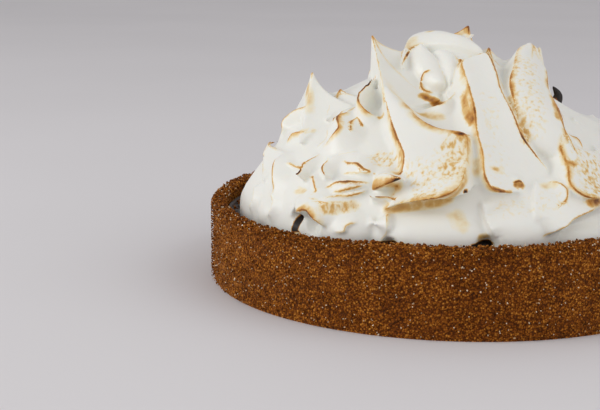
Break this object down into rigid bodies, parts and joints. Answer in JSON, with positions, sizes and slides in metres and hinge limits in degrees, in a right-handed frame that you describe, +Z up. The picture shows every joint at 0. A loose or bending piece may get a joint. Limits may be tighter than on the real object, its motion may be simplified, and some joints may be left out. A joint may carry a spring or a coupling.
{
  "type": "smores pie",
  "caption": "Round pie of a pressed biscuit-crumb crust and a chocolate filling, under a tall heap of torched meringue pulled into peaks and folds.",
  "frame": {"origin": "centre of the crust's underside, which the pie stands on", "axes": "+Z up; -Y towards the side that the tallest sheets of meringue face"},
  "size_m": [0.23, 0.23, 0.122],
  "materials": {
    "crumb_crust": "baked biscuit crumb bound with butter, matte and grainy with sugar glints",
    "chocolate": "set dark chocolate filling, satin gloss",
    "meringue": "glossy whipped meringue, torched tan to dark brown on its crests"
  },
  "bodies": {
    "root": {"crust": "crumb_crust", "filling": "chocolate", "meringue": "meringue"}
  },
  "joints": []
}
